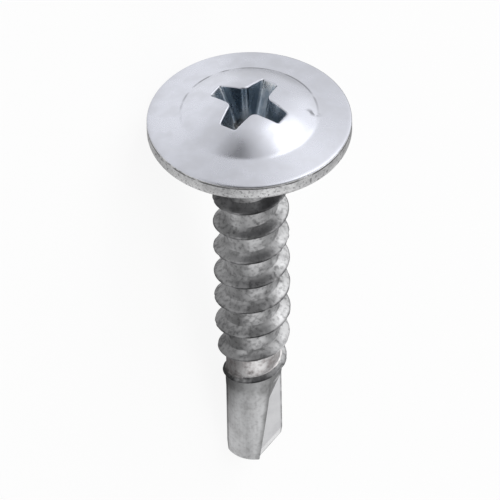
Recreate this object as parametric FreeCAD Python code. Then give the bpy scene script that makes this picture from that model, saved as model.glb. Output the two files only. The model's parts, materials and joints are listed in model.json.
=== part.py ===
"""A wafer head self drilling screw with a cross recess, lying as it comes to rest.

The screw is one cold headed and thread rolled piece of steel. It is built upright first: the bearing
face under the head is at z = 0, the head is above it and the shank below it. Angles about the axis are
counted from +X towards +Y. The finished screw is then laid on its side, where it rests on the rim of
the flange and on both edges of one flute, with the head towards -X and the floor at z = 0.
"""
import FreeCAD, Part
import math
import os

from FreeCAD import Vector

# Head: a thin round flange with a low dome in its middle.
head_diameter = 11.2
head_height = 2.4
dome_diameter = 7.5
flange_thickness = 0.96
flange_slope = 13.0
rim_lower_radius = 0.3
rim_upper_radius = 0.12

# Cross recess, size 2, pressed into the dome.
recess_span = 4.4
recess_depth = 2.6
wing_tip_width = 0.95
wing_flare = 8.0
wing_end_slope = 26.5
recess_draft = 4.0
recess_corner_radius = 0.4
recess_floor_slope = 30.0
recess_turn = 57.0

# Shank and thread. The length is from the bearing face to the tip of the point.
screw_length = 24.1
root_diameter = 3.0
neck_fillet_radius = 0.6
thread_diameter = 4.2
thread_pitch = 1.81
thread_flank_angle = 60.0
thread_crest_width = 0.08
thread_start = 1.0
thread_run_in = 1.2
thread_run_out = 5.4
thread_turn = 13.0

# Drill point: two lands, two flutes and a blunt cone.
drill_diameter = 3.2
drill_length = 6.1
drill_shoulder = 1.3
point_angle = 96.0
web_thickness = 0.5
flute_length = 7.34
flute_turn = -63.0
flute_heel_offset = 0.51
flute_heel_lean = 8.3
flute_exit_slope = 64.6
flute_exit_ramp = 70.8
lip_facet_width = 0.45
lip_facet_angle = 20.0

# Step, in degrees, of the search for the side that faces down when the screw lies.
resting_step = 0.05

# Room by which a cutting tool or a merged solid reaches past the surface that it meets.
reach = 1.0
thread_sink = 0.35
crest_sink = 0.03

AXIS = Vector(0, 0, 1)
ORIGIN = Vector(0, 0, 0)

head_radius = head_diameter / 2
dome_radius = dome_diameter / 2
root_radius = root_diameter / 2
thread_radius = thread_diameter / 2
drill_radius = drill_diameter / 2
dome_foot = flange_thickness + (head_radius - dome_radius) * math.tan(math.radians(flange_slope))
point_height = drill_radius / math.tan(math.radians(point_angle / 2))
lip_level = -screw_length + point_height
thread_end = screw_length - drill_length


def on_side(radius, height, angle=0.0):
    """A point at this distance from the axis and at this height."""
    turn = math.radians(angle)
    return Vector(radius * math.cos(turn), radius * math.sin(turn), height)


def line(start, end):
    return Part.LineSegment(start, end).toShape()


def arc(start, middle, end):
    return Part.Arc(start, middle, end).toShape()


def turned(edges):
    """The solid that a closed half section sweeps when it turns about the axis."""
    face = Part.Face(Part.Wire(edges))
    return face.revolve(ORIGIN, AXIS, 360)


def polygon(points):
    return Part.makePolygon(points + points[:1])


def arc_middle(centre, radius, angle):
    """The point of a circle in the half section at this angle from the radial direction."""
    turn = math.radians(angle)
    return Vector(centre.x + radius * math.cos(turn), 0, centre.z + radius * math.sin(turn))


def make_head():
    """The flange with its rounded rim, and the dome, whose foot is a crisp crease."""
    dome_rise = head_height - dome_foot
    dome_curve = (dome_radius ** 2 + dome_rise ** 2) / (2 * dome_rise)
    dome_centre = Vector(0, 0, head_height - dome_curve)
    crease_angle = math.degrees(math.atan2(dome_foot - dome_centre.z, dome_radius))
    lower = Vector(head_radius - rim_lower_radius, 0, rim_lower_radius)
    bottom = Vector(lower.x, 0, 0)
    side_foot = Vector(head_radius, 0, lower.z)
    # The upper rounding runs from the upright side to the sloping top.
    slope = math.radians(flange_slope)
    upper_x = head_radius - rim_upper_radius
    upper_drop = rim_upper_radius * (1 / math.cos(slope) - math.tan(slope))
    upper = Vector(upper_x, 0, flange_thickness - upper_drop)
    side_top = Vector(head_radius, 0, upper.z)
    slope_foot = arc_middle(upper, rim_upper_radius, 90 - flange_slope)
    crease = Vector(dome_radius, 0, dome_foot)
    apex = Vector(0, 0, head_height)
    edges = [
        line(ORIGIN, bottom),
        arc(bottom, arc_middle(lower, rim_lower_radius, -45), side_foot),
        line(side_foot, side_top),
        arc(side_top, arc_middle(upper, rim_upper_radius, 45 - flange_slope / 2), slope_foot),
        line(slope_foot, crease),
        arc(crease, arc_middle(dome_centre, dome_curve, (crease_angle + 90) / 2), apex),
        line(apex, ORIGIN),
    ]
    return turned(edges)


def recess_outline(height):
    """The cross at one level. It narrows with depth, and its inner corners are rounded."""
    drop = dome_level(recess_span / 2) - height
    tip = recess_span / 2 - drop * math.tan(math.radians(wing_end_slope))
    half = wing_tip_width / 2 - drop * math.tan(math.radians(recess_draft))
    flare = math.tan(math.radians(wing_flare))
    corner = (half + flare * tip) / (1 + flare)
    # The round between two wings touches both flanks.
    opening = math.radians(45 + wing_flare)
    radius = recess_corner_radius
    centre_distance = corner * math.sqrt(2) + radius / math.sin(opening)
    touch = radius / math.tan(opening)
    inner_x = corner + touch * math.cos(math.radians(wing_flare))
    inner_y = corner - touch * math.sin(math.radians(wing_flare))
    edges = []
    for quarter in range(4):
        turn = recess_turn + 90 * quarter

        def place(x, y):
            return on_side(math.hypot(x, y), height, turn + math.degrees(math.atan2(y, x)))

        middle = (centre_distance - radius) / math.sqrt(2)
        edges.append(line(place(tip, -half), place(tip, half)))
        edges.append(line(place(tip, half), place(inner_x, inner_y)))
        edges.append(arc(place(inner_x, inner_y), place(middle, middle), place(inner_y, inner_x)))
        edges.append(line(place(inner_y, inner_x), place(half, tip)))
    return Part.Wire(edges)


def dome_level(radius):
    """Height of the dome's surface at this distance from the axis."""
    rise = head_height - dome_foot
    curve = (dome_radius ** 2 + rise ** 2) / (2 * rise)
    return head_height - curve + math.sqrt(curve ** 2 - radius ** 2)


def make_recess():
    """The tapered cross with a shallow pit in its floor."""
    floor = head_height - recess_depth
    cross = Part.makeLoft([recess_outline(head_height), recess_outline(floor)], True, True)
    drop = dome_level(recess_span / 2) - floor
    pit_radius = wing_tip_width / 2 - drop * math.tan(math.radians(recess_draft))
    pit_depth = pit_radius * math.tan(math.radians(recess_floor_slope))
    pit = turned([
        line(Vector(0, 0, floor + pit_depth), Vector(0, 0, floor - pit_depth)),
        line(Vector(0, 0, floor - pit_depth), Vector(pit_radius, 0, floor)),
        line(Vector(pit_radius, 0, floor), Vector(0, 0, floor + pit_depth)),
    ])
    return cross.fuse(pit)


def make_shank():
    """Neck with its fillet under the head, root of the thread, drill body and cone."""
    fillet_end = Vector(root_radius, 0, -neck_fillet_radius)
    fillet_foot = Vector(root_radius + neck_fillet_radius, 0, 0)
    fillet_centre = Vector(fillet_foot.x, 0, fillet_end.z)
    sunk = flange_thickness / 2
    edges = [
        line(Vector(0, 0, sunk), Vector(fillet_foot.x, 0, sunk)),
        line(Vector(fillet_foot.x, 0, sunk), fillet_foot),
        arc(fillet_foot, arc_middle(fillet_centre, neck_fillet_radius, 135), fillet_end),
        line(fillet_end, Vector(root_radius, 0, -thread_end + drill_shoulder)),
        line(Vector(root_radius, 0, -thread_end + drill_shoulder), Vector(drill_radius, 0, -thread_end)),
        line(Vector(drill_radius, 0, -thread_end), Vector(drill_radius, 0, lip_level)),
        line(Vector(drill_radius, 0, lip_level), Vector(0, 0, -screw_length)),
        line(Vector(0, 0, -screw_length), Vector(0, 0, sunk)),
    ]
    return turned(edges)


def crest_section(crest_radius):
    """Section of the thread's ridge, with its foot sunk in the shank."""
    inner = root_radius - thread_sink
    half_crest = thread_crest_width / 2
    half_foot = half_crest + (crest_radius - inner) * math.tan(math.radians(thread_flank_angle / 2))
    return polygon([
        Vector(inner, 0, -half_foot),
        Vector(crest_radius, 0, -half_crest),
        Vector(crest_radius, 0, half_crest),
        Vector(inner, 0, half_foot),
    ])


def thread_crest(depth):
    """Distance of the crest from the axis at this depth under the head."""
    low = root_radius - crest_sink
    if depth < thread_start + thread_run_in:
        return low + (thread_radius - low) * (depth - thread_start) / thread_run_in
    into_run_out = depth - (thread_end - thread_run_out)
    if into_run_out < 0:
        return thread_radius
    fade = thread_radius - drill_radius + crest_sink
    bend = (thread_run_out ** 2 + fade ** 2) / (2 * fade)
    return thread_radius - bend + math.sqrt(bend ** 2 - into_run_out ** 2)


def ridge_piece(top, bottom):
    """A stretch of the right hand ridge between two depths. Its crest runs straight between them."""
    helix = Part.makeHelix(thread_pitch, bottom - top, root_radius)
    sweep = Part.BRepOffsetAPI.MakePipeShell(Part.Wire(helix.Edges))
    sweep.setFrenetMode(True)
    lower_section = crest_section(thread_crest(bottom))
    upper_section = crest_section(thread_crest(top))
    upper_section.rotate(ORIGIN, AXIS, 360 * (bottom - top) / thread_pitch)
    upper_section.translate(Vector(0, 0, bottom - top))
    sweep.add(lower_section)
    sweep.add(upper_section)
    sweep.build()
    sweep.makeSolid()
    piece = sweep.shape()
    piece.translate(Vector(0, 0, -bottom))
    piece.rotate(ORIGIN, AXIS, thread_turn - 360 * bottom / thread_pitch)
    return piece


def make_thread():
    """The ridge: its run in below the neck, its full turns and its long run out."""
    full_top = thread_start + thread_run_in
    full_bottom = thread_end - thread_run_out
    pieces = []
    for top, bottom in [(thread_start, full_top), (full_top, full_bottom), (full_bottom, thread_end)]:
        count = math.ceil((bottom - top) / thread_pitch)
        step = (bottom - top) / count
        for index in range(count):
            pieces.append(ridge_piece(top + index * step, top + (index + 1) * step))
    return pieces


def heel_place(level):
    """Place of the heel wall across the flute. It leans towards the open side as it climbs."""
    return flute_heel_offset - (level - lip_level) * math.tan(math.radians(flute_heel_lean))


def flute_outline(depth):
    """Outline of one flute seen square to its cutting face, at this distance from the axis.

    The exit is one plane that climbs across the flute and out of it. At the surface of the drill body
    it meets the heel wall at the flute's upper end.
    """
    across = math.tan(math.radians(flute_exit_slope))
    outwards = math.tan(math.radians(flute_exit_ramp))
    lean = math.tan(math.radians(flute_heel_lean))
    below = -screw_length - reach
    top = -screw_length + flute_length
    corner_level = top + (depth - drill_radius) * outwards / (1 - across * lean)
    open_side = -drill_radius - reach
    exit_level = corner_level + (heel_place(corner_level) - open_side) * across
    return polygon([
        Vector(heel_place(below), depth, below),
        Vector(heel_place(corner_level), depth, corner_level),
        Vector(open_side, depth, exit_level),
        Vector(open_side, depth, below),
    ])


def make_lip_facet():
    """A wedge that takes a narrow facet off the cutting face, all along its lip."""
    half_point = math.radians(point_angle / 2)
    lip_outer_end = Vector(-drill_radius, web_thickness / 2, lip_level)
    along = Vector(math.sin(half_point), 0, -math.cos(half_point))
    away = Vector(math.cos(half_point), 0, math.sin(half_point))
    start = lip_outer_end - along * reach
    upper = start + away * lip_facet_width
    lower = start - away * lip_facet_width
    drop = Vector(0, 2 * lip_facet_width * math.tan(math.radians(lip_facet_angle)), 0)
    clear = Vector(0, reach, 0)
    section = Part.Face(polygon([upper, lower - drop, lower + clear, upper + clear]))
    return section.extrude(along * (point_height / math.cos(half_point) + reach))


def make_flute():
    """One flute: a flat cutting face beside the axis, a leaning heel wall and a slanted exit."""
    inner = flute_outline(web_thickness / 2)
    outer = flute_outline(drill_radius + reach)
    flute = Part.makeLoft([inner, outer], True, True).fuse(make_lip_facet())
    # The cutting face looks along +Y here, and along the flute's own angle on the screw.
    flute.rotate(ORIGIN, AXIS, flute_turn - 90)
    return flute


def make_screw():
    """The point is pinched before the thread is rolled, so the ridge runs over the ends of the flutes."""
    flute = make_flute()
    other_flute = flute.copy()
    other_flute.rotate(ORIGIN, AXIS, 180)
    pointed = make_shank().cut([flute, other_flute])
    return pointed.fuse([make_head()] + make_thread()).cut(make_recess())


def tilt_on(side, points):
    """Angle of the axis above the floor when this side faces down: the rim and one of the points touch it."""
    turn = math.radians(side)
    tilts = []
    for point in points:
        sideways = point.x * math.cos(turn) + point.y * math.sin(turn)
        rise = head_radius - rim_lower_radius - sideways
        run = rim_lower_radius - point.z
        tilts.append(math.atan2(rise, run) + math.asin(rim_lower_radius / math.hypot(rise, run)))
    return math.degrees(min(tilts))


def resting_pose(screw):
    """The side that faces down and the tilt of the axis: the screw rolls until its axis lies steepest."""
    points = [vertex.Point for vertex in screw.Vertexes if vertex.Point.z < -thread_end]
    sides = [flute_turn + 90 + index * resting_step for index in range(round(180 / resting_step))]
    side = max(sides, key=lambda each: tilt_on(each, points))
    return side, tilt_on(side, points)


def lay_down(screw):
    """Turn the resting side to the floor and centre the screw over the origin."""
    side, tilt = resting_pose(screw)
    screw.rotate(ORIGIN, AXIS, 180 - side)
    screw.rotate(ORIGIN, Vector(0, 1, 0), tilt - 90)
    box = screw.optimalBoundingBox()
    screw.translate(Vector(-(box.XMin + box.XMax) / 2, -(box.YMin + box.YMax) / 2, -box.ZMin))
    print("side", round(side, 2), "degrees faces down, axis tilt", round(tilt, 2), "degrees")
    return screw


os.makedirs("parts", exist_ok=True)
screw = lay_down(make_screw())
screw.exportStep("parts/screw.step")
print("solids", len(screw.Solids), "valid", screw.isValid(), "volume", round(screw.Volume, 1), "cubic mm")
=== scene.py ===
# %% [markdown]
# # A self drilling screw
#
# The real object is one piece of steel wire. A cold heading press forms the wide flat head and presses
# the cross into it, two dies pinch the drill point, rolling dies raise the thread, and a zinc bath makes
# it bright. So the model is one closed skin too. It is shaped in pieces, each by the tool that suits it,
# and the pieces are welded before the finish goes on.
#
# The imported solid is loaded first. It says where the screw lies and how large it may be.

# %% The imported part
import json
import math

import bmesh
import bpy
import numpy as np
from mathutils import Matrix, Vector


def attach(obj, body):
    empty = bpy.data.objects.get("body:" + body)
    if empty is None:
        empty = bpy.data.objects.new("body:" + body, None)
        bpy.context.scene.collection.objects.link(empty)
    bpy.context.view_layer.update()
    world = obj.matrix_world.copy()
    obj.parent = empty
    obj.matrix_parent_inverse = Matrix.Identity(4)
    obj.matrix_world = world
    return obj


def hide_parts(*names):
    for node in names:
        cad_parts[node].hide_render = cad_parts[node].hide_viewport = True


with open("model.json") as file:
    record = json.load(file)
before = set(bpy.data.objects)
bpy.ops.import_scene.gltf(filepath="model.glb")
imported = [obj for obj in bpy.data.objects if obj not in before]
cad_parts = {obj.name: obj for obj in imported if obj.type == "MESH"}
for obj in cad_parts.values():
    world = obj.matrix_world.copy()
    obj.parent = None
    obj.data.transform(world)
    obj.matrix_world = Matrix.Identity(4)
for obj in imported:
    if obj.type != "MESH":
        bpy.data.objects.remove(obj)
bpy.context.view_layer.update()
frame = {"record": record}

mounts = {mount["name"]: mount for mount in frame["record"]["mounts"]}
seat = Vector(mounts["bearing_face"]["pos_m"])
towards_head = -Vector(mounts["bearing_face"]["axis"])
print("bearing face at", tuple(round(value * 1000, 2) for value in seat), "mm")

# %% [markdown]
# ## Upright first, then laid down
#
# A screw lies on the rim of its head and on the two edges of one flute, with its axis aslant. Shapes are
# far easier to describe on an upright axis, so every piece is made upright in millimetres: the bearing
# face under the head is at height 0 and the shank goes down. One matrix then lays the finished mesh
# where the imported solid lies. Angles about the axis are counted from +X towards +Y, in degrees.

# %% From upright millimetres to the lying screw
# The angle about the axis at which the screw touches the floor.
side_down = 151.0
millimetre = 0.001

tilt = math.atan2(towards_head.z, -towards_head.x)
laid_down = (
    Matrix.Translation(seat)
    @ Matrix.Rotation(tilt - math.pi / 2, 4, "Y")
    @ Matrix.Rotation(math.pi - math.radians(side_down), 4, "Z")
    @ Matrix.Scale(millimetre, 4)
)
print("axis", round(math.degrees(tilt), 2), "degrees above the floor")

# %% [markdown]
# ## Node trees as formulas
#
# Both the thread and the finish are rules: numbers that depend on a place. Blender writes such rules as
# node trees. A small class wraps one number socket, so that a Python expression adds the Math nodes and
# the rule stays readable.

# %% Expressions that build nodes
class Number:
    """A number in a node tree. Arithmetic on it adds Math nodes to the tree."""

    def __init__(self, tree, socket):
        self.tree = tree
        self.socket = socket

    def maths(self, operation, *others):
        places = dict(enumerate((self, *others)))
        node = add_node(self.tree, "ShaderNodeMath", {"operation": operation}, places)
        return Number(self.tree, node.outputs[0])

    def __add__(self, other):
        return self.maths("ADD", other)

    __radd__ = __add__

    def __sub__(self, other):
        return self.maths("SUBTRACT", other)

    def __rsub__(self, other):
        return self.maths("MULTIPLY_ADD", -1.0, other)

    def __mul__(self, other):
        return self.maths("MULTIPLY", other)

    __rmul__ = __mul__

    def __truediv__(self, other):
        return self.maths("DIVIDE", other)

    def between(self, low, high):
        return self.maths("MAXIMUM", low).maths("MINIMUM", high)

    def ramp(self, start, end):
        """0 before start, 1 after end, and a soft rise from one to the other."""
        settings = {"interpolation_type": "SMOOTHSTEP"}
        places = {"Value": self, "From Min": start, "From Max": end}
        node = add_node(self.tree, "ShaderNodeMapRange", settings, places)
        return Number(self.tree, node.outputs[0])


def add_node(tree, kind, settings=None, places=None):
    """A node of this kind. Its settings are set first, then the values or links of its sockets."""
    node = tree.nodes.new(kind)
    for name, value in (settings or {}).items():
        setattr(node, name, value)
    for name, value in (places or {}).items():
        socket = node.inputs[name]
        if isinstance(value, Number):
            tree.links.new(value.socket, socket)
        elif isinstance(value, bpy.types.NodeSocket):
            tree.links.new(value, socket)
        else:
            socket.default_value = value
    return node


# %% [markdown]
# ## Skins made of rings
#
# The head, the neck and the drill body are round. Each is a stack of rings with the same number of
# points, and neighbouring rings are joined by a band of faces. A lathe would do the same, but the head's
# innermost rings follow the cross recess instead of a circle, so the rings are worked out here.

# %% Rings and bands
columns = 240
column_angle = 360 / columns


def circle(radius, height):
    """A ring of points round the axis."""
    turns = np.radians(np.arange(columns) * column_angle)
    return np.stack([radius * np.cos(turns), radius * np.sin(turns), np.full(columns, height)], axis=1)


def band_faces(bm, rings):
    """Join each ring to the next one and return the vertices of all rings."""
    rows = [[bm.verts.new(point) for point in ring] for ring in rings]
    for upper, lower in zip(rows, rows[1:]):
        for column in range(columns):
            following = (column + 1) % columns
            bm.faces.new((upper[column], lower[column], lower[following], upper[following]))
    return rows


def close_end(bm, row, point):
    """A fan of triangles from the last ring to one point on the axis."""
    pole = bm.verts.new(point)
    for column in range(columns):
        bm.faces.new((row[column], pole, row[(column + 1) % columns]))


def closed_mesh(name, bm):
    """A mesh from closed faces, with its normals outwards."""
    bmesh.ops.recalc_face_normals(bm, faces=bm.faces)
    mesh = bpy.data.meshes.new(name)
    bm.to_mesh(mesh)
    bm.free()
    return mesh


def arc_points(centre, radius, start, end, count):
    """Points (distance from the axis, height) along an arc, by angles in degrees."""
    turns = np.radians(np.linspace(start, end, count))
    return [(centre[0] + radius * math.cos(turn), centre[1] + radius * math.sin(turn)) for turn in turns]


# %% [markdown]
# ## The head
#
# A wafer head is a thin flange with a low dome in its middle. The press leaves a crisp but not knife
# sharp crease where the dome meets the flange, a tight upper edge and a rounder lower edge on the rim.
# The profile is worked out from the same sizes as the solid, with small roundings that only show here.

# %% Profile of the head
head_radius = 5.6
head_height = 2.4
dome_radius = 3.75
flange_thickness = 0.96
flange_slope = 13.0
rim_lower_radius = 0.3
rim_upper_radius = 0.12
crease_width = 0.16
crease_points, top_points, upper_points, side_points, lower_points = 7, 12, 6, 6, 9

slope = math.tan(math.radians(flange_slope))
dome_foot = flange_thickness + (head_radius - dome_radius) * slope
dome_rise = head_height - dome_foot
dome_curve = (dome_radius ** 2 + dome_rise ** 2) / (2 * dome_rise)


def dome_level(radius):
    """Height of the dome's surface at this distance from the axis."""
    return head_height - dome_curve + np.sqrt(dome_curve ** 2 - np.square(radius))


def bend(start, corner, end, step):
    """A place on a soft bend from start to end, which leans towards the corner. step goes from 0 to 1."""
    start, corner, end = np.array(start), np.array(corner), np.array(end)
    return (1 - step) ** 2 * start + 2 * step * (1 - step) * corner + step ** 2 * end


def head_profile():
    """Points (distance from the axis, height) from the dome's foot over the rim to the neck's fillet."""
    inside = dome_radius - crease_width
    outside = dome_radius + crease_width
    crease_start = (inside, dome_level(inside))
    crease_corner = (dome_radius, dome_foot)
    crease_end = (outside, dome_foot - crease_width * slope)
    crease = [bend(crease_start, crease_corner, crease_end, step)
              for step in np.linspace(0, 1, crease_points)]
    upper_drop = rim_upper_radius * (1 / math.cos(math.radians(flange_slope)) - slope)
    upper = (head_radius - rim_upper_radius, flange_thickness - upper_drop)
    upper_arc = arc_points(upper, rim_upper_radius, 90 - flange_slope, 0, upper_points)
    top_steps = np.linspace(outside, upper_arc[0][0], top_points)[1:-1]
    top = [(radius, dome_foot - (radius - dome_radius) * slope) for radius in top_steps]
    lower_centre = (head_radius - rim_lower_radius, rim_lower_radius)
    lower_arc = arc_points(lower_centre, rim_lower_radius, 0, -90, lower_points)
    side_levels = np.linspace(upper[1], rim_lower_radius, side_points)[1:-1]
    side = [(head_radius, height) for height in side_levels]
    return [*crease, *top, *upper_arc, *side, *lower_arc]


print("points of the head's profile:", len(head_profile()))

# %% [markdown]
# ## The cross recess
#
# A punch presses the cross into the dome. Its wings flare towards the middle, their ends slope and their
# flanks have a little draft, so that the punch comes out again. Cutting it out with a boolean would
# leave long thin faces on the dome, which show as ripples in polished metal. Instead the head's inner
# rings have the outline of the cross. They change into circles on their way to the dome's foot, and go
# straight down the walls on the other side of the rounded mouth.

# %% Outline of the cross
recess_span = 4.4
recess_depth = 2.6
wing_tip_width = 0.95
wing_flare = math.radians(8.0)
wing_end_slope = math.radians(26.5)
recess_draft = math.radians(4.0)
recess_corner_radius = 0.4
wing_corner_radius = 0.13
recess_floor_slope = math.radians(30.0)
recess_turn = 57.0
mouth_rounding = 0.09
mouth_level = float(dome_level(recess_span / 2))
# Points along a quarter of the outline: half a wing tip, its corner, a flank, the round between wings.
tip_steps, corner_steps, flank_steps, round_steps = 4, 5, 13, 16


def quarter_outline(height):
    """Outline from the middle of one wing tip to the middle of the next, at one level."""
    drop = mouth_level - height
    tip = recess_span / 2 - drop * math.tan(wing_end_slope)
    half = wing_tip_width / 2 - drop * math.tan(recess_draft)
    flare = math.tan(wing_flare)
    inner = (half + flare * tip) / (1 + flare)
    opening = math.radians(45) + wing_flare
    centre_distance = inner * math.sqrt(2) + recess_corner_radius / math.sin(opening)
    centre = np.array([centre_distance, centre_distance]) / math.sqrt(2)
    # The small round at the wing's tip touches the end and the flank.
    small = min(wing_corner_radius, half * 0.6)
    arc_end = math.pi / 2 - wing_flare
    tip_arc_centre = np.array([tip - small, half - small * math.tan(arc_end / 2)])
    points = [np.array([tip, tip_arc_centre[1] * step / tip_steps]) for step in range(tip_steps)]
    for step in range(corner_steps):
        turn = arc_end * step / corner_steps
        points.append(tip_arc_centre + small * np.array([math.cos(turn), math.sin(turn)]))
    flank_start = tip_arc_centre + small * np.array([math.cos(arc_end), math.sin(arc_end)])
    first = -math.pi / 2 - wing_flare
    flank_end = centre + recess_corner_radius * np.array([math.cos(first), math.sin(first)])
    for step in range(flank_steps):
        points.append(flank_start + (flank_end - flank_start) * step / flank_steps)
    # The round between two wings bulges towards the axis, from one flank to the next.
    last = -math.pi + wing_flare
    for step in range(round_steps // 2 + 1):
        turn = first + (last - first) * step / round_steps
        points.append(centre + recess_corner_radius * np.array([math.cos(turn), math.sin(turn)]))
    half_outline = np.array(points)
    mirrored = half_outline[:, ::-1][::-1][1:-1]
    return np.concatenate([half_outline, mirrored])


def cross_ring(height):
    """The whole outline of the cross at one level, as a ring of points."""
    quarter = quarter_outline(height)
    corners = []
    for index in range(4):
        turn = math.radians(recess_turn + 90 * index)
        spin = np.array([[math.cos(turn), math.sin(turn)], [-math.sin(turn), math.cos(turn)]])
        corners.append(quarter @ spin)
    outline = np.concatenate(corners)
    outline = np.roll(outline, round(recess_turn / column_angle), axis=0)
    return np.column_stack([outline, np.full(len(outline), height)])


print("points round the cross:", len(cross_ring(mouth_level)), "of", columns)

# %% [markdown]
# The mouth is where the drafted walls meet the dome. Each point of the outline slides along its wall
# until it is on the dome. A narrow bend then rounds the edge, as on the real screw, where it catches
# a bright line of light.

# %% Rings of the head
recess_floor = head_height - recess_depth
pit_steps = (0.3, 0.65)
slide_rounds = 8
wall_rings = 14
mouth_rings = 6
dome_rings = 18


def outline_normals(ring):
    """Directions square to the outline and away from the recess."""
    ahead = np.roll(ring, -1, axis=0) - np.roll(ring, 1, axis=0)
    sideways = np.column_stack([ahead[:, 1], -ahead[:, 0], np.zeros(len(ring))])
    return sideways / np.linalg.norm(sideways, axis=1)[:, None]


def on_dome(points):
    """The same places with their height on the dome."""
    lifted = points.copy()
    lifted[:, 2] = dome_level(np.hypot(points[:, 0], points[:, 1]))
    return lifted


def head_rings():
    """Rings from the pit of the recess over the mouth, dome and flange to the underside, and the pit."""
    top, floor = cross_ring(head_height), cross_ring(recess_floor)
    # How far down its wall each point meets the dome. The dome falls as the wall leans, so this takes a
    # few rounds.
    share = np.zeros(columns)
    for _ in range(slide_rounds):
        mouth = top + (floor - top) * share[:, None]
        share = (head_height - dome_level(np.hypot(mouth[:, 0], mouth[:, 1]))) / recess_depth
    mouth = top + (floor - top) * share[:, None]
    down = floor - mouth
    below = mouth + down * (mouth_rounding / np.linalg.norm(down, axis=1))[:, None]
    beside = on_dome(mouth + outline_normals(mouth) * mouth_rounding)
    pit = np.array([0, 0, recess_floor - wing_tip_width / 2 * math.tan(recess_floor_slope)])
    rings = [pit + (floor - pit) * step for step in pit_steps]
    rings += [floor + (below - floor) * step for step in np.linspace(0, 1, wall_rings)]
    rings += [bend(below, mouth, beside, step) for step in np.linspace(0, 1, mouth_rings)[1:-1]]
    profile = head_profile()
    foot_ring = circle(*profile[0])
    rings += [on_dome(beside + (foot_ring - beside) * step) for step in np.linspace(0, 1, dome_rings)]
    rings += [circle(radius, height) for radius, height in profile[1:]]
    return rings, pit


print("rings of the head:", len(head_rings()[0]))

# %% [markdown]
# ## Neck and drill body
#
# Below the head a fillet leads into the plain neck. The drill point is pinched before the thread is
# rolled, so it is a piece of its own here: a round bar that starts inside the last turns of the thread,
# widens in a short cone and ends in a blunt tip of 96 degrees. They are rings as well.

# %% Rings of the neck and the drill body
root_radius = 1.5
neck_fillet_radius = 0.6
thread_start = 1.0
drill_radius = 1.6
screw_length = 24.1
drill_length = 6.1
point_angle = 96.0
point_height = drill_radius / math.tan(math.radians(point_angle / 2))
lip_level = -screw_length + point_height
thread_end = screw_length - drill_length
drill_shoulder = 1.3
thread_dive = 15.7
weld_gap = 0.04
underside_points, fillet_points, neck_points = 8, 10, 5
root_points, body_points = 6, 14
cone_shares = (0.8, 0.6, 0.4, 0.2)
# The first rings of the drill body: how much thinner than the root, and how far above the dive.
hidden_rings = ((0.06, 0.3), (0.02, 0.1))
dive_margin = 0.1


def neck_profile():
    """From the rim's lower edge along the bearing face, round the fillet and down to the thread."""
    foot = root_radius + neck_fillet_radius
    underside_radii = np.linspace(head_radius - rim_lower_radius, foot, underside_points)[1:-1]
    underside = [(radius, 0.0) for radius in underside_radii]
    fillet = arc_points((foot, -neck_fillet_radius), neck_fillet_radius, 90, 180, fillet_points)
    neck_depths = np.linspace(neck_fillet_radius, thread_start - weld_gap, neck_points)[1:]
    return [*underside, *fillet, *((root_radius, -depth) for depth in neck_depths)]


def drill_profile():
    """From under the skin of the thread over the shoulder to the blunt tip."""
    hidden = [(root_radius - thinner, above - thread_dive) for thinner, above in hidden_rings]
    root_levels = np.linspace(-thread_dive - dive_margin, drill_shoulder - thread_end, root_points)
    root = [(root_radius, height) for height in root_levels]
    body = [(drill_radius, height) for height in np.linspace(-thread_end, lip_level, body_points)]
    cone = [(drill_radius * share, lip_level - point_height * (1 - share)) for share in cone_shares]
    return [*hidden, *root, *body, *cone]


print("lips start at", round(lip_level, 2), "and the point ends at", -screw_length, "mm")

# %% [markdown]
# ## The rolled thread
#
# A thread is a rule: the skin stands further out where the helix passes. It could be a swept profile,
# but a sweep ends abruptly, while a rolled thread grows out of the neck and fades into the drill body.
# So Geometry Nodes lay a grid round the axis with its rows along the helix, crowded at the crest, and
# move every point out to the height that the rule gives. Rows past the ends are squeezed onto the end
# rings and merged there. The crests of a real screw are nicked from tumbling in the bath, so a noise
# with a fixed seed bites small pieces out of them.

# %% Sizes of the thread
thread_radius = 2.1
thread_pitch = 1.81
thread_crest_width = 0.08
thread_flank_angle = 60.0
thread_run_in = 1.2
thread_run_out = 5.4
thread_turn = 13.0
crest_sink = 0.03
dive_length = 0.3
dive_depth = 0.4
rows_per_turn = 22
row_crowding = 0.72
crest_rounding = 0.1
foot_rounding = 0.14
nick_depth = 0.06
nick_scale = 1.8
skin_wave = 0.016
nick_seed = 4.0
row_merge = 0.0005

sizes = {
    "Pitch": thread_pitch,
    "Turn": thread_turn,
    "Root Radius": root_radius,
    "Thread Radius": thread_radius,
    "Body Radius": drill_radius,
    "Half Crest": thread_crest_width / 2,
    "Flank Rise": 1 / math.tan(math.radians(thread_flank_angle / 2)),
    "Start": thread_start,
    "End": thread_end,
    "Run In": thread_run_in,
    "Run Out": thread_run_out,
    "Dive": thread_dive,
    "Dive Length": dive_length,
    "Dive Depth": dive_depth,
    "Nick Depth": nick_depth,
    "Nick Scale": nick_scale,
    "Wave": skin_wave,
    "Seed": nick_seed,
}
counts = {"Columns": columns, "Rows per Turn": rows_per_turn}

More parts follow.
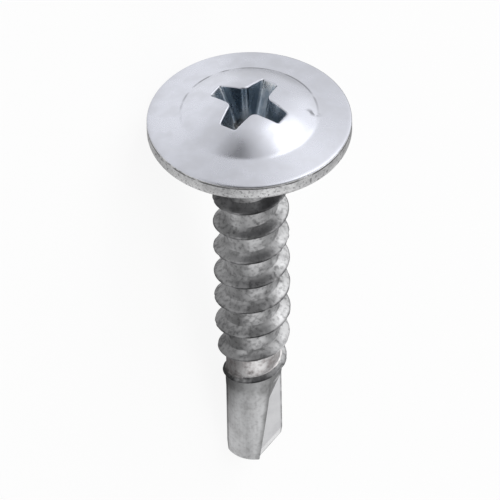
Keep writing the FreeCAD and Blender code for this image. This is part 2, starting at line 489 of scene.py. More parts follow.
# %% The thread's node tree
def thread_tree():
    """Nodes that make the skin of the thread from the sizes above."""
    tree = bpy.data.node_groups.new("rolled_thread", "GeometryNodeTree")
    tree.interface.new_socket("Mesh", in_out="OUTPUT", socket_type="NodeSocketGeometry")
    for name in sizes:
        tree.interface.new_socket(name, in_out="INPUT", socket_type="NodeSocketFloat")
    for name in counts:
        tree.interface.new_socket(name, in_out="INPUT", socket_type="NodeSocketInt")
    tree.interface.new_socket("Finish", in_out="INPUT", socket_type="NodeSocketMaterial")
    given = tree.nodes.new("NodeGroupInput")
    size = {name: Number(tree, given.outputs[name]) for name in sizes}
    across, per_turn = (Number(tree, given.outputs[name]) for name in counts)

    # The first crest row that starts above the thread at every angle, counted in whole turns.
    first = (size["Start"] * -1 / size["Pitch"] - 0.5 + size["Turn"] / 360).maths("CEIL")
    top = (first + 0.5 - size["Turn"] / 360) * size["Pitch"]
    turns = ((top + size["End"]) / size["Pitch"]).maths("CEIL") + 1

    grid = add_node(tree, "GeometryNodeMeshGrid", places={
        "Size X": 1.0, "Size Y": 1.0, "Vertices X": across + 1, "Vertices Y": turns * per_turn + 1,
    })
    position = add_node(tree, "GeometryNodeInputPosition").outputs[0]
    on_grid = add_node(tree, "ShaderNodeSeparateXYZ", places={0: position})
    around = Number(tree, on_grid.outputs[0]) + 0.5
    row = (Number(tree, on_grid.outputs[1]) + 0.5) * turns

    # Rows crowd together at the crest, half a turn into each pitch.
    crowd = (row * math.tau).maths("SINE") * (row_crowding / math.tau)
    helix_height = top + (around - row - crowd) * size["Pitch"]
    depth = (helix_height * -1).maths("MAXIMUM", size["Start"]).maths("MINIMUM", size["End"])
    height = depth * -1

    # Distance along the axis from the nearest crest.
    phase = height / size["Pitch"] - around + size["Turn"] / 360
    from_crest = (phase - (phase + 0.5).maths("FLOOR")).maths("ABSOLUTE") * size["Pitch"]

    # The crest climbs out of the neck, runs level and sinks into the drill body on a long arc.
    low = size["Root Radius"] - crest_sink
    climb = low + (size["Thread Radius"] - low) * ((depth - size["Start"]) / size["Run In"]).between(0.0, 1.0)
    fade = size["Thread Radius"] - size["Body Radius"] + crest_sink
    arc = (size["Run Out"] * size["Run Out"] + fade * fade) / (fade * 2)
    past = (depth - size["End"] + size["Run Out"]).maths("MAXIMUM", 0.0)
    sink = size["Thread Radius"] - arc + (arc * arc - past * past).maths("SQRT")
    crest = climb.maths("MINIMUM", sink)

    # Near its end the skin between the turns dives into the drill body, and only the ridge stays out.
    dive = ((depth - size["Dive"]) / size["Dive Length"]).between(0.0, 1.0)
    body = size["Root Radius"] - dive * size["Dive Depth"]
    flank = (from_crest - size["Half Crest"]).maths("SMOOTH_MAX", 0.0, crest_rounding) * size["Flank Rise"]
    ridge = crest - flank
    radius = ridge.maths("SMOOTH_MAX", body, foot_rounding)

    # Nicks bite into what stands proud of the body, and waves make the whole skin a little uneven. They
    # have another seed, so that they don't follow the nicks.
    turn = around * math.tau
    cosine, sine = turn.maths("COSINE"), turn.maths("SINE")
    spot = add_node(tree, "ShaderNodeCombineXYZ", places={0: radius * cosine, 1: radius * sine, 2: height})
    bites = add_node(tree, "ShaderNodeTexNoise", {"noise_dimensions": "4D"}, {
        "Vector": spot.outputs[0], "W": size["Seed"], "Scale": size["Nick Scale"], "Detail": 3.0,
    })
    waves = add_node(tree, "ShaderNodeTexNoise", {"noise_dimensions": "4D"}, {
        "Vector": spot.outputs[0], "W": size["Seed"] + 7, "Scale": size["Nick Scale"] * 0.6, "Detail": 2.0,
    })
    proud = ((radius - size["Root Radius"]) / (size["Thread Radius"] - size["Root Radius"])).between(0.0, 1.0)
    bite = Number(tree, bites.outputs[0]).ramp(0.5, 0.78) * proud * size["Nick Depth"]
    wave = (Number(tree, waves.outputs[0]) - 0.5) * size["Wave"] * 2
    inside = (depth - size["Start"]).between(0.0, 1.0) * (size["End"] - depth).between(0.0, 1.0)
    radius = radius - bite + wave * inside

    skin = add_node(tree, "ShaderNodeCombineXYZ", places={0: radius * cosine, 1: radius * sine, 2: height})
    moved = add_node(tree, "GeometryNodeSetPosition", places={
        "Geometry": grid.outputs[0], "Position": skin.outputs[0],
    })
    merged = add_node(tree, "GeometryNodeMergeByDistance", places={
        "Geometry": moved.outputs[0], "Distance": row_merge,
    })
    real = add_node(tree, "GeometryNodeRealizeInstances", places={"Geometry": merged.outputs[0]})
    coated = add_node(tree, "GeometryNodeSetMaterial", places={
        "Geometry": real.outputs[0], "Material": given.outputs["Finish"],
    })
    result = tree.nodes.new("NodeGroupOutput")
    tree.links.new(coated.outputs[0], result.inputs[0])
    return tree


# %% [markdown]
# The tree goes on an empty mesh as a modifier. Its inputs are set by their identifiers before it is
# evaluated for the first time, and the result is taken off as a plain mesh.

# %% Make the thread
def plain_mesh(piece):
    """What the modifiers of a piece make, as a mesh of its own."""
    graph = bpy.context.evaluated_depsgraph_get()
    return bpy.data.meshes.new_from_object(piece.evaluated_get(graph))


def new_piece(name, mesh):
    piece = bpy.data.objects.new(name, mesh)
    bpy.context.scene.collection.objects.link(piece)
    return piece


def make_thread(finish):
    """The thread as a mesh. Its rings at both ends are left open."""
    holder = new_piece("thread_maker", bpy.data.meshes.new("thread_maker"))
    tree = thread_tree()
    modifier = holder.modifiers.new("thread", "NODES")
    modifier.node_group = tree
    values = {**sizes, **counts, "Finish": finish}
    for item in tree.interface.items_tree:
        if item.in_out == "INPUT":
            modifier[item.identifier] = values[item.name]
    mesh = plain_mesh(holder)
    bpy.data.objects.remove(holder)
    print("points of the thread:", len(mesh.vertices))
    return mesh


# %% [markdown]
# ## Flutes
#
# The dies leave two lands and two flutes. Each flute has a flat cutting face beside the axis, a heel wall
# that leans across the point and a slanted exit. A narrow bright facet runs along the lip. These are
# plain flat cuts with sharp edges, so here a boolean with a few large faces is the right tool.

# %% Cutters for the flutes
web_thickness = 0.5
flute_length = 7.34
flute_turn = -63.0
flute_heel_offset = 0.51
flute_heel_lean = math.tan(math.radians(8.3))
flute_exit_slope = math.tan(math.radians(64.6))
flute_exit_ramp = math.tan(math.radians(70.8))
lip_facet_width = 0.45
lip_facet_angle = math.radians(20.0)
cutter_reach = 1.0


def heel_place(level):
    """Place of the heel wall across the flute. It leans towards the open side as it climbs."""
    return flute_heel_offset - (level - lip_level) * flute_heel_lean


def flute_outline(away):
    """Outline of a flute seen square to its cutting face, at this distance from the axis."""
    below = -screw_length - cutter_reach
    top = -screw_length + flute_length
    corner_level = top + (away - drill_radius) * flute_exit_ramp / (1 - flute_exit_slope * flute_heel_lean)
    open_side = -drill_radius - cutter_reach
    exit_level = corner_level + (heel_place(corner_level) - open_side) * flute_exit_slope
    return [
        Vector((heel_place(below), away, below)),
        Vector((heel_place(corner_level), away, corner_level)),
        Vector((open_side, away, exit_level)),
        Vector((open_side, away, below)),
    ]


def lip_facet_outlines():
    """Both ends of the wedge that takes the facet off the lip."""
    half_point = math.radians(point_angle / 2)
    lip_end = Vector((-drill_radius, web_thickness / 2, lip_level))
    along = Vector((math.sin(half_point), 0, -math.cos(half_point)))
    away = Vector((math.cos(half_point), 0, math.sin(half_point)))
    start = lip_end - along * cutter_reach
    upper = start + away * lip_facet_width
    lower = start - away * lip_facet_width
    drop = Vector((0, 2 * lip_facet_width * math.tan(lip_facet_angle), 0))
    clear = Vector((0, cutter_reach, 0))
    section = [upper, lower - drop, lower + clear, upper + clear]
    length = point_height / math.cos(half_point) + cutter_reach
    return section, [point + along * length for point in section]


def prism(outlines, turn):
    """A closed solid between two outlines with as many points, turned about the axis."""
    spin = Matrix.Rotation(math.radians(turn), 4, "Z")
    bm = bmesh.new()
    ends = [[bm.verts.new(spin @ point) for point in outline] for outline in outlines]
    for end in ends:
        bm.faces.new(end)
    count = len(ends[0])
    for index in range(count):
        following = (index + 1) % count
        bm.faces.new((ends[0][index], ends[0][following], ends[1][following], ends[1][index]))
    bmesh.ops.triangulate(bm, faces=bm.faces)
    return closed_mesh("cutter", bm)


def combine(piece, other_mesh, operation):
    """Cut the other mesh from the piece, or weld it to the piece."""
    other = new_piece("other", other_mesh)
    modifier = piece.modifiers.new("combine", "BOOLEAN")
    modifier.operation = operation
    modifier.solver = "EXACT"
    modifier.object = other
    mesh = plain_mesh(piece)
    piece.modifiers.clear()
    piece.data = mesh
    bpy.data.objects.remove(other)


# %% [markdown]
# ## The finish
#
# The screw is zinc plated: a thin bright layer with a bluish sheen and fine cloudy patches from the bath.
# The head is pressed smooth. The rim's side, the thread and the lands keep the grain of the dies, so
# they are duller, with fine specks. On the point, the cutting faces and the lips are smooth. One function
# makes all of these finishes from a few values. It reads Object coordinates and turns them back to the
# upright screw, so a mark or a painted shade can be placed by its height and its distance from the axis.

# %% Places on the upright screw, for the finish
stood_up = laid_down.inverted()
upright_turn = stood_up.to_euler()
upright_shift = stood_up.translation
evenly = (1.0, 1.0, 1.0)


def vector_maths(tree, operation, *values):
    """A Vector Math node, with its values in order."""
    return add_node(tree, "ShaderNodeVectorMath", {"operation": operation}, dict(enumerate(values)))


def mixed(tree, share, first, second):
    """A colour between two others. Each may be a value or the output of a node."""
    node = add_node(tree, "ShaderNodeMix", {"data_type": "RGBA"}, {0: share})
    for socket, value in ((node.inputs[6], first), (node.inputs[7], second)):
        if isinstance(value, bpy.types.NodeSocket):
            tree.links.new(value, socket)
        else:
            socket.default_value = value
    return node.outputs[2]


class Place:
    """Where a point of the skin lies on the upright screw, in millimetres, and soft noises there."""

    def __init__(self, tree):
        self.tree = tree
        given = add_node(tree, "ShaderNodeTexCoord").outputs["Object"]
        self.upright = add_node(tree, "ShaderNodeMapping", places={
            "Vector": given, "Location": upright_shift, "Rotation": upright_turn,
            "Scale": (1 / millimetre,) * 3,
        }).outputs[0]
        parts = add_node(tree, "ShaderNodeSeparateXYZ", places={0: self.upright})
        self.right, self.back, self.height = (Number(tree, output) for output in parts.outputs)
        self.radius = (self.right * self.right + self.back * self.back).maths("SQRT")

    def distance(self, point, stretch=evenly):
        """Distance from a point of the upright screw. A small stretch makes an axis count for less."""
        away = vector_maths(self.tree, "SUBTRACT", self.upright, point)
        drawn = vector_maths(self.tree, "MULTIPLY", away.outputs[0], stretch)
        length = vector_maths(self.tree, "LENGTH", drawn.outputs[0])
        return Number(self.tree, length.outputs["Value"])

    def cloud(self, scale, detail=1.0, stretch=evenly):
        """A noise of about this many patches to the millimetre. A small stretch draws them out."""
        drawn = vector_maths(self.tree, "MULTIPLY", self.upright, stretch)
        node = add_node(self.tree, "ShaderNodeTexNoise", places={
            "Vector": drawn.outputs[0], "Scale": scale, "Detail": detail,
        })
        return Number(self.tree, node.outputs[0])


# %% [markdown]
# Some places are darker than the zinc about them. The crease round the dome gets painted shade, and a
# painted dark reflection marks a dent beside the right wing. A painted dark line under the rim's edge
# stands for what its rounding mirrors, and the pores of the rim are specks. Painted shade also falls in
# the recess, the painted shadow of the head lies under it, and the flanks get painted shade where they
# would mirror the head's underside. The crests, the last turn, the edge of the last groove and the outer
# edges of the cutting faces are darker, and the lands get painted shade along their edges. Each formula
# is of the place: 0 is clean and 1 is the finish's darkest colour.

# %% Painted shade, reflection and specks of the head
# Where the painted dark reflection of a dent lies, and how it is drawn out. The dent isn't in the mesh.
dent_reflection_place = (3.45, -0.2, 1.5)
dent_reflection_stretch = (0.6, 1.2, 1.0)
# Height of the painted dark line on the rim.
rim_line = flange_thickness - 0.13


def crease_shade_and_dent_reflection(place):
    """Painted shade in the crease, stronger at the back, and a painted dark reflection of a dent beside
    the right wing of the cross.
    """
    line = (place.radius - dome_radius).maths("ABSOLUTE").ramp(0.11, 0.0)
    line = line * place.back.ramp(-1.5, 3.0) * place.cloud(1.2).ramp(0.25, 0.55) * 0.8
    dent = place.distance(dent_reflection_place, dent_reflection_stretch).ramp(0.4, 0.1) * place.cloud(3.0).ramp(0.3, 0.5)
    return line.maths("MAXIMUM", dent * 0.7)


def rim_specks_and_painted_shade(place):
    """A painted dark line near the rim's upper edge, for the dark that its rounding mirrors, faint patches
    about it and specks all over the side.
    """
    line = (place.height - rim_line).maths("ABSOLUTE").ramp(0.08, 0.0)
    line = line * place.cloud(1.2, 2.0).ramp(0.3, 0.5) * 0.95
    side = place.height.ramp(0.3, 0.6) * place.cloud(1.6, 2.0).ramp(0.35, 0.6) * 0.2
    specks = place.cloud(5.0, 2.0).ramp(0.55, 0.7) * 0.6
    return line.maths("MAXIMUM", side).maths("MAXIMUM", specks)


def recess_painted_shade(place):
    """Painted shade on the flanks of the wings. Their sloping ends, the rounds between wings and the mouth
    of the wing on the right are left bright as painted light."""
    tip = recess_span / 2 - (mouth_level - place.height) * math.tan(wing_end_slope)
    end = (place.radius - tip).ramp(-0.16, -0.02)
    round_between = place.radius.ramp(1.1, 0.85)
    right_wing = place.right.ramp(0.9, 1.5) * place.height.ramp(mouth_level - 0.7, mouth_level - 0.1)
    return 0.9 * (1 - end) * (1 - round_between) * (1 - right_wing)


# %% Painted shade and darker places of the thread and the point
head_shadow_levels = (-5.0, -4.1)
flank_levels = (-3.8, -4.7)
last_turn_levels = (-16.0, -16.7)
land_top_levels = (-17.55, -17.0)


def shank_painted_shade_and_darkening(place):
    """Painted shadow of the head to both sides under it, painted shade on the flanks in the middle where
    they would mirror the head's underside, and darker crests and a darker last turn."""
    aside = place.right.maths("ABSOLUTE")
    head_shadow = place.height.ramp(*head_shadow_levels) * aside.ramp(0.2, 1.0) * 0.65
    crest = place.radius.ramp(2.0, 2.09) * (0.4 + place.cloud(1.3).ramp(0.35, 0.6) * 0.4)
    flank = place.radius.ramp(1.6, 1.8) * aside.ramp(1.5, 0.7) * place.height.ramp(*flank_levels) * 0.35
    last_turn = place.height.ramp(*last_turn_levels) * place.cloud(1.6, 2.0).ramp(0.25, 0.5) * 0.75
    return head_shadow.maths("MAXIMUM", crest).maths("MAXIMUM", last_turn).maths("MAXIMUM", flank)


def groove_edge_darkening(place):
    """The last groove is bright, with a ragged dark edge where the last turn rises."""
    return (place.radius + place.cloud(2.5, 2.0) * 0.2).ramp(1.6, 1.68) * 0.65


def land_painted_shade(place):
    """Painted shade along each land's edge above the heel of the flute, and a little darker at its top."""
    turn = math.radians(flute_turn)
    away = place.right * math.cos(turn) + place.back * math.sin(turn)
    across = place.back * math.cos(turn) - place.right * math.sin(turn)
    heel = (place.height - lip_level) * flute_heel_lean - flute_heel_offset
    edge = (across * away.maths("SIGN") - heel).ramp(-0.3, -0.02) * 0.5
    top = (place.height + place.cloud(2.0, 2.0) * 1.2).ramp(*land_top_levels) * 0.35
    return edge.maths("MAXIMUM", top)


def outer_edge_darkening(place):
    """The outer edge of a cutting face and of its lip is darker."""
    cone = (place.height + screw_length) * (drill_radius / point_height)
    inside = cone.maths("MINIMUM", drill_radius) - place.radius
    return inside.ramp(0.13, 0.02) * (0.35 + place.cloud(2.0).ramp(0.35, 0.6) * 0.35)


# %% [markdown]
# A finish mixes a bright and a dull zinc by cloudy patches, specks and, where a punch slid along, fine
# lines down the wall. Stains and painted shade then mix in its dark colour. Patches and specks also
# roughen the metal, and two noises make the small bumps that break up its reflections.

# %% Zinc
bump_height = 0.00003
line_stretch = (1.0, 1.0, 0.06)


def zinc(name, colours, roughness, speckle, clouding, grain, grain_size, stain_and_shade=None, streaks=0.0):
    """Zinc plate. speckle, clouding, grain and streaks are how strong specks, patches, bumps and lines
    are, and grain_size says how many grains go to the millimetre."""
    material = bpy.data.materials.new(name)
    material.use_nodes = True
    tree = material.node_tree
    shader = tree.nodes["Principled BSDF"]
    place = Place(tree)
    bright, dull, dark = colours

    patches = place.cloud(0.9, 2.0).ramp(0.38, 0.68)
    specks = place.cloud(grain_size, 3.0).ramp(0.42, 0.75)
    lines = place.cloud(5.0, 1.0, line_stretch).ramp(0.38, 0.6)
    dulled = (patches * clouding + specks * speckle + lines * streaks).between(0.0, 1.0)
    coloured = mixed(tree, dulled, bright, dull)
    # The stains and painted shade of a region mix in its dark colour.
    if stain_and_shade:
        coloured = mixed(tree, stain_and_shade(place), coloured, dark)
    tree.links.new(coloured, shader.inputs["Base Color"])
    shader.inputs["Metallic"].default_value = 1.0
    rough = (roughness + patches * 0.06 + specks * (speckle * 0.2)).between(0.05, 0.9)
    tree.links.new(rough.socket, shader.inputs["Roughness"])
    surface = place.cloud(grain_size * 0.5, 2.0) * 0.6 + place.cloud(grain_size * 2.2, 1.0) * 0.4
    bump = add_node(tree, "ShaderNodeBump", places={
        "Height": surface, "Strength": grain, "Distance": bump_height,
    })
    tree.links.new(bump.outputs[0], shader.inputs["Normal"])
    return material


# %% The finish of each region
# Each has a bright, a dull and a dark colour.
bright_zinc = ((0.735, 0.752, 0.825, 1.0), (0.64, 0.65, 0.70, 1.0), (0.12, 0.125, 0.14, 1.0))
grey_zinc = ((0.97, 0.972, 0.98, 1.0), (0.68, 0.68, 0.69, 1.0), (0.05, 0.05, 0.055, 1.0))
rolled_grey = ((0.66, 0.662, 0.67, 1.0), (0.22, 0.22, 0.225, 1.0), (0.06, 0.06, 0.065, 1.0))
# The dark colour of the recess is the painted shade of its walls.
deep_grey = ((0.92, 0.94, 0.97, 1.0), (0.62, 0.68, 0.74, 1.0), (0.25, 0.31, 0.37, 1.0))
land_grey = ((0.76, 0.765, 0.775, 1.0), (0.54, 0.54, 0.545, 1.0), (0.1, 0.1, 0.1, 1.0))
face_grey = ((0.94, 0.942, 0.96, 1.0), (0.82, 0.82, 0.84, 1.0), (0.1, 0.1, 0.1, 1.0))
lip_grey = ((0.98, 0.98, 0.99, 1.0), (0.9, 0.9, 0.92, 1.0), (0.1, 0.1, 0.1, 1.0))
groove_grey = ((0.97, 0.96, 0.96, 1.0), (0.56, 0.52, 0.52, 1.0), (0.08, 0.08, 0.08, 1.0))
# The underside of the head is dark all over: painted shade under the head.
underside_shade_grey = ((0.17, 0.17, 0.18, 1.0), (0.12, 0.12, 0.13, 1.0), (0.1, 0.1, 0.1, 1.0))

# Colours, roughness, how strong specks, patches and bumps are, grains to the millimetre, stains and painted
# shade, lines.
finish_values = {
    "pressed_zinc": (bright_zinc, 0.27, 0.03, 0.5, 0.012, 4.0, crease_shade_and_dent_reflection),
    "rim_zinc": (grey_zinc, 0.42, 0.75, 0.3, 0.6, 7.0, rim_specks_and_painted_shade),
    "underside_zinc": (underside_shade_grey, 0.5, 0.3, 0.4, 0.5, 6.0),
    "recess_zinc": (deep_grey, 0.25, 0.1, 0.1, 0.2, 6.0, recess_painted_shade, 0.8),
    "rolled_zinc": (rolled_grey, 0.33, 0.6, 0.4, 0.32, 4.5, shank_painted_shade_and_darkening),
    "groove_zinc": (groove_grey, 0.35, 0.8, 0.5, 0.5, 3.0, groove_edge_darkening),
    "land_zinc": (land_grey, 0.42, 0.45, 0.6, 0.35, 5.0, land_painted_shade, 0.2),
    "lip_zinc": (lip_grey, 0.2, 0.1, 0.2, 0.1, 5.0, outer_edge_darkening),
    "face_zinc": (face_grey, 0.35, 0.2, 0.4, 0.15, 5.0, outer_edge_darkening),
}
finishes = {name: zinc(name, *values) for name, values in finish_values.items()}
finish_order = list(finishes)
print("finishes:", ", ".join(finish_order))

# %% [markdown]
# ## Two closed pieces
#
# The head's skin is bridged to the thread's, and the flutes are cut from the drill body. Both pieces have
# to be closed before they can be welded, so open rims are filled and the normals are turned outwards.

# %% The threaded head and the drill body
def rim_edges(bm, highest, lowest):
    """Edges of open rims between two levels."""
    return [edge for edge in bm.edges
            if edge.is_boundary and lowest < (edge.verts[0].co.z + edge.verts[1].co.z) / 2 < highest]


def threaded_head():
    """The head and the neck from rings, bridged to the thread."""
    bm = bmesh.new()
    bm.from_mesh(make_thread(finishes["rolled_zinc"]))
    bmesh.ops.holes_fill(bm, edges=rim_edges(bm, -thread_dive, -screw_length))
    rings, pit = head_rings()
    rings += [circle(radius, height) for radius, height in neck_profile()]
    rows = band_faces(bm, rings)
    close_end(bm, rows[0], pit)
    seam = rim_edges(bm, 0, -thread_dive)
    print("edges along the seam under the neck:", len(seam))
    bmesh.ops.bridge_loops(bm, edges=seam)
    return closed_mesh("threaded_head", bm)


def drill_body():
    """The round bar with its blunt tip, cut by both flutes and their lip facets."""
    bm = bmesh.new()
    rows = band_faces(bm, [circle(radius, height) for radius, height in drill_profile()])
    close_end(bm, rows[0], (0, 0, rows[0][0].co.z))
    close_end(bm, rows[-1], (0, 0, -screw_length))
    body = new_piece("drill_body", closed_mesh("drill_body", bm))
    for half_turn in (0, 180):
        turn = flute_turn - 90 + half_turn
        outlines = [flute_outline(web_thickness / 2), flute_outline(drill_radius + cutter_reach)]
        combine(body, prism(outlines, turn), "DIFFERENCE")
        combine(body, prism(lip_facet_outlines(), turn), "DIFFERENCE")
    mesh = body.data
    bpy.data.objects.remove(body)
    return mesh


# %% [markdown]
# ## Weld them into one skin
#
# The thread runs over the ends of the flutes, so the two pieces are welded by a boolean union. Where it
# cuts close to a corner, it can leave two points in nearly the same place. These are merged, and the
# print shows that no edge is left loose or open.

# %% The weld
weld_distance = 0.0004
screw = new_piece("screw_skin", threaded_head())
combine(screw, drill_body(), "UNION")

skin = screw.data
welded = bmesh.new()
welded.from_mesh(skin)
bmesh.ops.remove_doubles(welded, verts=welded.verts, dist=weld_distance)
print("loose or open edges:", sum(not edge.is_manifold for edge in welded.edges))
print("volume", round(welded.calc_volume(), 1), "cubic mm, faces", len(welded.faces))
welded.to_mesh(skin)
welded.free()

# %% [markdown]
# ## Which face gets which finish
#
# The dies leave each region of the screw with a finish of its own, and the underside of the head is
# painted dark as its shade. A face belongs to a region by its middle and its normal on the upright screw:
# the pit of the cross, the rim's side, the last groove of the thread, and below it the lands, the cutting
# faces and the facets of the lips.

# %% Regions
underside_level = 0.02
rim_top_level = flange_thickness - 0.04
groove_radius = root_radius + 0.06
last_turn = -10
last_turn_start = 60.0
groove_drop = 0.25
beside_face = 0.9
on_face = 0.99
sharp_angle = math.radians(28)


def groove_foot(azimuth):
    """Height of the lower side of the last groove, at an angle about the axis."""
    along = (azimuth - last_turn_start) % 360 + last_turn_start
    return thread_pitch * (last_turn + (along - thread_turn) / 360) - groove_drop


def point_region(centre, normal):
    """Finish of a face below the last groove. The cutting faces and the lips face across the flutes."""
    turn = math.radians(flute_turn)
    facing = abs(normal.x * math.cos(turn) + normal.y * math.sin(turn))
    away = abs(centre.x * math.cos(turn) + centre.y * math.sin(turn))
    if facing < beside_face or away > drill_radius / 2:
        return "land_zinc"
    return "face_zinc" if facing > on_face else "lip_zinc"


def region(centre, normal):
    """Name of the finish of a face of the upright screw, by its middle and its normal."""
    radius = math.hypot(centre.x, centre.y)
    if centre.z > underside_level and radius < recess_span / 2:
        if centre.z < dome_level(radius) - mouth_rounding:
            return "recess_zinc"
    foot = groove_foot(math.degrees(math.atan2(centre.y, centre.x)))
    if centre.z < foot:
        return point_region(centre, normal)
    if centre.z < foot + thread_pitch and radius < groove_radius:
        return "groove_zinc"
    if centre.z < underside_level:
        return "underside_zinc" if radius > root_radius + neck_fillet_radius else "rolled_zinc"
    if radius > head_radius - rim_upper_radius and centre.z < rim_top_level:
        return "rim_zinc"
    return "pressed_zinc"


# %% Coat the skin and lay it down
skin.materials.clear()
for finish in finishes.values():
    skin.materials.append(finish)
for face in skin.polygons:
    face.material_index = finish_order.index(region(face.center, face.normal))
    face.use_smooth = True
skin.set_sharp_from_angle(angle=sharp_angle)

skin.transform(laid_down)
skin.update()
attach(screw, "root")
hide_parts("screw")

# %% [markdown]
# ## The camera
#
# The photograph looks down on the head at about 42 degrees, with a lens so long that nothing converges.
# The camera keeps that angle to the screw, and its own upright follows the screw's axis. So the lying
# screw fills the picture as it does in the photograph, and only its shadow and the floor turn.

# %% Camera
photo_size = 500
photo_elevation = math.radians(41.8)
photo_lean = math.radians(1.0)
pixels_per_millimetre = 18.35
seat_in_photo = (249.5, 132.6)
camera_distance = 1.2
pixel = millimetre / pixels_per_millimetre

upright_axes = laid_down.to_3x3().normalized()
photo_right = upright_axes @ Vector((1, 0, 0))
photo_up = upright_axes @ Vector((0, math.sin(photo_elevation), math.cos(photo_elevation)))
photo_back = upright_axes @ Vector((0, -math.cos(photo_elevation), math.sin(photo_elevation)))
lean_right = photo_right * math.cos(photo_lean) - photo_up * math.sin(photo_lean)
lean_up = photo_up * math.cos(photo_lean) + photo_right * math.sin(photo_lean)
shift_right = (photo_size / 2 - seat_in_photo[0]) * pixel
shift_up = (seat_in_photo[1] - photo_size / 2) * pixel
target = seat + lean_right * shift_right + lean_up * shift_up

camera_data = bpy.data.cameras.new("camera")
camera = bpy.data.objects.new("camera", camera_data)
bpy.context.scene.collection.objects.link(camera)
camera_data.lens = camera_data.sensor_width * camera_distance / (photo_size * pixel)
camera_data.clip_start = 0.01
camera_data.clip_end = 10
turned = Matrix((lean_right, lean_up, photo_back)).transposed().to_4x4()
camera.matrix_world = Matrix.Translation(target + photo_back * camera_distance) @ turned
bpy.context.scene.camera = camera
print("camera", round(math.degrees(math.asin(photo_back.z)), 1), "degrees above the floor")

# %% [markdown]
# ## The floor
#
# Zinc has hardly any colour of its own. It shows what stands round it, so its look is made by what it
# mirrors. The floor is plain white for the camera and keeps the soft shadow of the screw. For the rays
# that leave the metal it glows by place: bright past the head, darker elsewhere, with a few round spots
# that light the underside, the point and the recess. Nothing of this is painted on the screw.

# %% Floor
floor_size = 3.0
half_floor = floor_size / 2
floor_corners = [(-half_floor, -half_floor, 0), (half_floor, -half_floor, 0),
                 (half_floor, half_floor, 0), (-half_floor, half_floor, 0)]
floor_mesh = bpy.data.meshes.new("floor")
floor_mesh.from_pydata(floor_corners, [], [(0, 1, 2, 3)])
floor = new_piece("floor", floor_mesh)

# %% What the metal sees of the floor
black, white = (0.0, 0.0, 0.0, 1.0), (1.0, 1.0, 1.0, 1.0)
floor_white = (0.8, 0.8, 0.8, 1.0)
floor_glow = 1.06
glow_share = 0.85
mirrored_floor = 0.1
past_head = (-0.008, -0.014)
past_head_level = 0.75
dark_spot = ((-0.085, -0.017, 0.0), 0.045, 0.02)
# Each spot is a point of the floor, the radii where it starts and where it is full, and its level.
bright_spots = {
    "under the neck": ((-0.002, 0.001, 0.0), 0.010, 0.002, 0.35),
    "under the point": ((0.0125, -0.002, 0.0), 0.006, 0.002, 0.6),
    "before the thread": ((-0.004, -0.011, 0.0), 0.010, 0.004, 0.6),
    "beyond the point": ((0.035, -0.03, 0.0), 0.04, 0.022, 0.55),
    "before the recess": ((-0.0155, 0.003, 0.0), 0.008, 0.003, 0.2),
}


def floor_finish():
    """A white floor. Part of it glows for what sees it, and the rest takes the lamps and the shadow."""
    material = bpy.data.materials.new("white_floor")
    material.use_nodes = True
    tree = material.node_tree
    shader = tree.nodes["Principled BSDF"]
    shader.inputs["Base Color"].default_value = floor_white
    shader.inputs["Roughness"].default_value = 0.9
    rays = add_node(tree, "ShaderNodeLightPath")
    camera_ray = Number(tree, rays.outputs["Is Camera Ray"])
    glossy_ray = Number(tree, rays.outputs["Is Glossy Ray"])
    place = add_node(tree, "ShaderNodeTexCoord").outputs["Object"]

    def near(point, widest, narrowest):
        distance = vector_maths(tree, "DISTANCE", place, point)
        return Number(tree, distance.outputs["Value"]).ramp(widest, narrowest)

    across = Number(tree, add_node(tree, "ShaderNodeSeparateXYZ", places={0: place}).outputs[0])
    mirrored = mirrored_floor + across.ramp(*past_head) * (1 - near(*dark_spot) * 0.9) * past_head_level
    for point, widest, narrowest, spot_level in bright_spots.values():
        mirrored = mirrored + near(point, widest, narrowest) * spot_level
    level = (camera_ray + glossy_ray * mirrored / floor_glow).between(0.0, 1.0)
    glow = add_node(tree, "ShaderNodeEmission", places={
        "Color": mixed(tree, level, black, white), "Strength": floor_glow,
    })
    share = (camera_ray + glossy_ray) * glow_share
    both = add_node(tree, "ShaderNodeMixShader", places={0: share, 1: shader.outputs[0], 2: glow.outputs[0]})
    tree.links.new(both.outputs[0], tree.nodes["Material Output"].inputs["Surface"])
    return material


floor.data.materials.append(floor_finish())
print("spots on the floor:", ", ".join(bright_spots))

# %% [markdown]
# ## The studio
#
# Two soft lamps give the floor its shadow and the zinc a little sheen. Most light comes from the world,
# which is white for the camera and a studio for everything else: an even grey with bright zones where a
# photographer would stand white boards and lamps, and dark ones behind the camera and beside the head.
# The zones are told by direction alone, so they stay where they are when the camera moves.

# %% Lamps
def softbox(name, direction, distance, size, power):
    """A square soft lamp that looks at the screw from this direction."""
    data = bpy.data.lights.new(name, "AREA")
    data.shape = "SQUARE"
    data.size = size
    data.energy = power
    lamp = bpy.data.objects.new(name, data)
    bpy.context.scene.collection.objects.link(lamp)
    outwards = Vector(direction).normalized()
    lamp.location = target + outwards * distance
    lamp.rotation_mode = "QUATERNION"
    lamp.rotation_quaternion = outwards.to_track_quat("Z", "Y")
    lamp.visible_camera = False


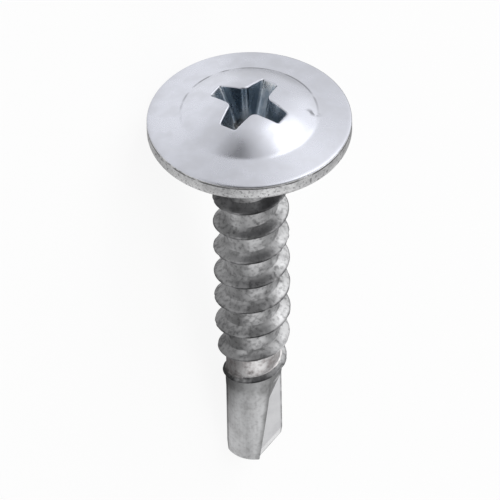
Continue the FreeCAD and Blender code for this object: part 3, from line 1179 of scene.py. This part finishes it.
softbox("top_softbox", (0.1, 0.3, 1.0), 0.25, 0.15, 0.1)
softbox("head_softbox", (-0.755, 0.458, 0.471), 0.2, 0.12, 0.02)

# %% Zones of the studio
studio_peak = 2.5
studio_grey = 0.3
# Each zone is a direction, the angles from it where it starts and where it is full, and its strength.
bright_zones = {
    "past the head": ((-0.75, 0.65, 0.1), 95, 25, 0.52),
    "past the point": ((0.72, -0.55, 0.45), 45, 12, 0.58),
    "beside the thread": ((-0.3, 0.9, 0.35), 28, 8, 0.3),
    "highlight on the dome": ((-0.76, 0.43, 0.47), 19, 5, 1.0),
    "beside the lip": ((0.9, 0.42, 0.15), 20, 10, 0.5),
}
dark_zones = {
    "behind the camera": ((-0.21, -0.83, 0.52), 45, 15, 0.85),
    "beside the head": ((-0.98, -0.17, 0.03), 20, 7, 0.95),
}


def studio_world():
    """Plain white for the camera, and the zones of the studio for everything else."""
    world = bpy.data.worlds.new("studio")
    world.use_nodes = True
    tree = world.node_tree
    background = tree.nodes["Background"]
    camera_ray = Number(tree, add_node(tree, "ShaderNodeLightPath").outputs["Is Camera Ray"])
    sky = add_node(tree, "ShaderNodeTexCoord").outputs["Generated"]

    def towards(direction, widest, narrowest):
        """1 within the narrow angle of a direction of the studio, 0 past the wide one."""
        dot = vector_maths(tree, "DOT_PRODUCT", sky, Vector(direction).normalized())
        start, end = (math.cos(math.radians(angle)) for angle in (widest, narrowest))
        return Number(tree, dot.outputs["Value"]).ramp(start, end)

    studio = studio_grey
    for direction, widest, narrowest, strength in bright_zones.values():
        studio = studio + towards(direction, widest, narrowest) * strength
    for direction, widest, narrowest, strength in dark_zones.values():
        studio = studio * (1 - towards(direction, widest, narrowest) * strength)
    level = (camera_ray + (1 - camera_ray) * studio) / studio_peak
    tree.links.new(mixed(tree, level, black, white), background.inputs["Color"])
    background.inputs["Strength"].default_value = studio_peak
    return world


bpy.context.scene.world = studio_world()
print("zones of the studio:", ", ".join([*bright_zones, *dark_zones]))

bpy.context.scene.view_settings.view_transform = "Standard"
